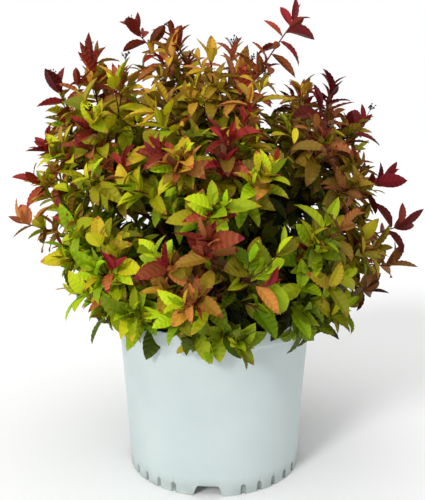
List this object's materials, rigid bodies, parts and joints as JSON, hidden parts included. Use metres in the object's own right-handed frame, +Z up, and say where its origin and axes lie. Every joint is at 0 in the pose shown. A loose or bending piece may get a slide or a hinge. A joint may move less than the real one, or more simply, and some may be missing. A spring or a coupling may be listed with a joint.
{
  "type": "potted spirea shrub",
  "caption": "Dense rounded spirea shrub with pointed, autumn-tinted leaves on thin woody stems, growing from a woody knot in a plain white nursery pot.",
  "frame": {"origin": "on the ground under the pot, on the pot's axis", "axes": "+Z up, -Y towards the viewer's side of the plant, +X to the viewer's right"},
  "size_m": [0.6005, 0.5445, 0.6619],
  "materials": {
    "pot": "white outside and black inside, satin, with a faint moulded grain",
    "potting_mix": "damp shredded bark and peat",
    "bark": "thin red-brown bark with fine lengthwise cracks",
    "foliage_top": "crimson and bronze young leaves, satin",
    "foliage_upper": "bronze, orange and yellow-green leaves, satin",
    "foliage_lower": "lime and mid green leaves with a few orange ones, satin"
  },
  "bodies": {
    "root": {"pot": "pot", "potting_mix": "potting_mix", "stem_base": "bark", "stem_top": "bark", "stem_upper_1": "bark", "stem_upper_2": "bark", "stem_upper_3": "bark", "stem_upper_4": "bark", "stem_upper_5": "bark", "stem_lower_1": "bark", "stem_lower_2": "bark", "stem_lower_3": "bark", "stem_lower_4": "bark", "stem_lower_5": "bark", "stem_lower_6": "bark", "stem_lower_7": "bark", "foliage_top": "foliage_top", "foliage_upper_1": "foliage_upper", "foliage_upper_2": "foliage_upper", "foliage_upper_3": "foliage_upper", "foliage_upper_4": "foliage_upper", "foliage_upper_5": "foliage_upper", "foliage_lower_1": "foliage_lower", "foliage_lower_2": "foliage_lower", "foliage_lower_3": "foliage_lower", "foliage_lower_4": "foliage_lower", "foliage_lower_5": "foliage_lower", "foliage_lower_6": "foliage_lower", "foliage_lower_7": "foliage_lower"}
  },
  "joints": []
}
